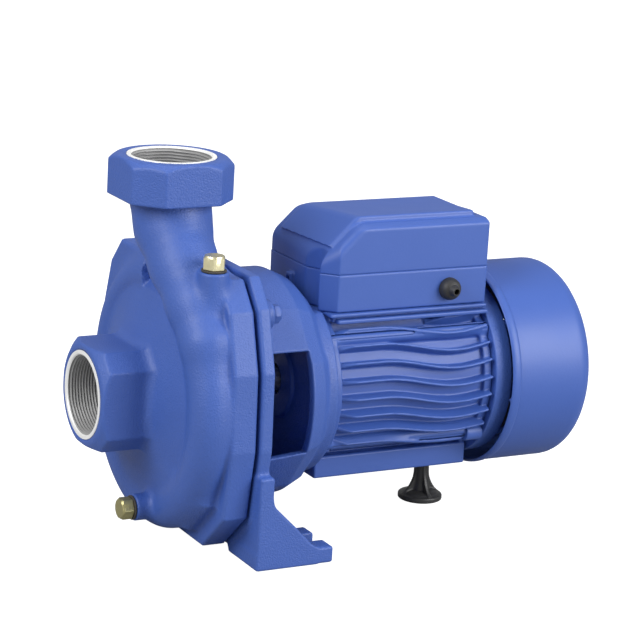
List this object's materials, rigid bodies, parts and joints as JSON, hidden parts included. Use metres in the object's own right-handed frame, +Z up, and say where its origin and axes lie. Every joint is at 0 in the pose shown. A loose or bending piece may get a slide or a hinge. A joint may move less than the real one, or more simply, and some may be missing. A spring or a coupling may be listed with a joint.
{
  "type": "centrifugal pump",
  "caption": "Close-coupled centrifugal water pump: volute casing with threaded suction and discharge ports, lantern bracket with feet, finned motor, terminal box and fan cover",
  "frame": {"origin": "on the floor below the middle of the pump, at the centre of the bounding box footprint", "axes": "X along the shaft from the suction port to the fan cover, Y across the feet, Z up"},
  "size_m": [0.4, 0.222, 0.286],
  "materials": {
    "blue_enamel": "blue enamel over cast metal, slightly rough",
    "gasket_fibre": "pressed sealing fibre",
    "cast_iron": "bare casting",
    "steel": "turned or plated steel",
    "brass": "bright turned brass",
    "ceramic": "lapped ceramic",
    "carbon": "lapped carbon",
    "rubber": "matt black rubber",
    "aluminium": "cast or drawn aluminium",
    "copper": "varnished copper wire",
    "black_plastic": "moulded black plastic"
  },
  "bodies": {
    "pump_body": {"cable_gland": "rubber", "capacitor": "aluminium", "casing_bolt_1": "steel", "casing_bolt_2": "steel", "casing_bolt_3": "steel", "casing_bolt_4": "steel", "casing_gasket": "gasket_fibre", "casing_washer_1": "steel", "casing_washer_2": "steel", "casing_washer_3": "steel", "casing_washer_4": "steel", "fan_cover": "blue_enamel", "front_bearing_outer": "steel", "motor_bracket": "blue_enamel", "motor_housing": "blue_enamel", "pump_casing": "blue_enamel", "rear_bearing_outer": "steel", "rear_endshield": "blue_enamel", "seal_boot": "rubber", "seal_seat": "ceramic", "stator_core": "cast_iron", "support_foot": "black_plastic", "terminal_block": "black_plastic", "terminal_box_base": "blue_enamel", "terminal_box_cover": "blue_enamel", "terminal_screw_1": "brass", "terminal_screw_2": "brass", "terminal_screw_3": "brass", "tie_rod_1": "steel", "tie_rod_2": "steel", "tie_rod_3": "steel", "tie_rod_4": "steel", "wave_washer": "steel", "winding_front": "copper", "winding_rear": "copper"},
    "rotating_group": {"impeller": "cast_iron", "impeller_key": "steel", "impeller_washer": "steel", "impeller_nut": "brass", "seal_ring": "carbon", "seal_case": "steel", "seal_spring": "steel", "slinger": "rubber", "shaft": "steel", "rotor_core": "aluminium", "front_bearing_inner": "steel", "rear_bearing_inner": "steel", "cooling_fan": "black_plastic", "fan_clip": "steel"},
    "front_cage": {"front_bearing_cage": "steel"},
    "rear_cage": {"rear_bearing_cage": "steel"},
    "priming_seal": {"priming_washer": "gasket_fibre"},
    "priming_screw": {"priming_plug": "brass"},
    "drain_seal": {"drain_washer": "gasket_fibre"},
    "drain_screw": {"drain_plug": "brass"}
  },
  "joints": [
    {"name": "shaft_spin", "type": "hinge", "parent": "pump_body", "child": "rotating_group", "pos_m": [0, 0, 0.11], "axis": [1, 0, 0], "continuous": true},
    {"name": "front_cage_spin", "type": "hinge", "parent": "pump_body", "child": "front_cage", "pos_m": [-0.0312, 0, 0.11], "axis": [1, 0, 0], "continuous": true},
    {"name": "rear_cage_spin", "type": "hinge", "parent": "pump_body", "child": "rear_cage", "pos_m": [0.1191, 0, 0.11], "axis": [1, 0, 0], "continuous": true},
    {"name": "priming_lift", "type": "slide", "parent": "pump_body", "child": "priming_seal", "axis": [0, 0, 1], "range_m": [0, 0.01603]},
    {"name": "priming_unscrew", "type": "hinge", "parent": "priming_seal", "child": "priming_screw", "pos_m": [-0.132, -0.07, 0.215], "axis": [0, 0, 1], "range_deg": [0, 4320]},
    {"name": "drain_lift", "type": "slide", "parent": "pump_body", "child": "drain_seal", "axis": [-1, 0, 0], "range_m": [0, 0.01603]},
    {"name": "drain_unscrew", "type": "hinge", "parent": "drain_seal", "child": "drain_screw", "pos_m": [-0.165, -0.02, 0.026], "axis": [-1, 0, 0], "range_deg": [0, 4320]}
  ],
  "couplings": [
    {"joint": "front_cage_spin", "follows": "shaft_spin", "ratio": 0.3836},
    {"joint": "rear_cage_spin", "follows": "shaft_spin", "ratio": 0.3842},
    {"joint": "priming_unscrew", "follows": "priming_lift", "rad_per_m": 4699.5},
    {"joint": "drain_unscrew", "follows": "drain_lift", "rad_per_m": 4699.5}
  ]
}
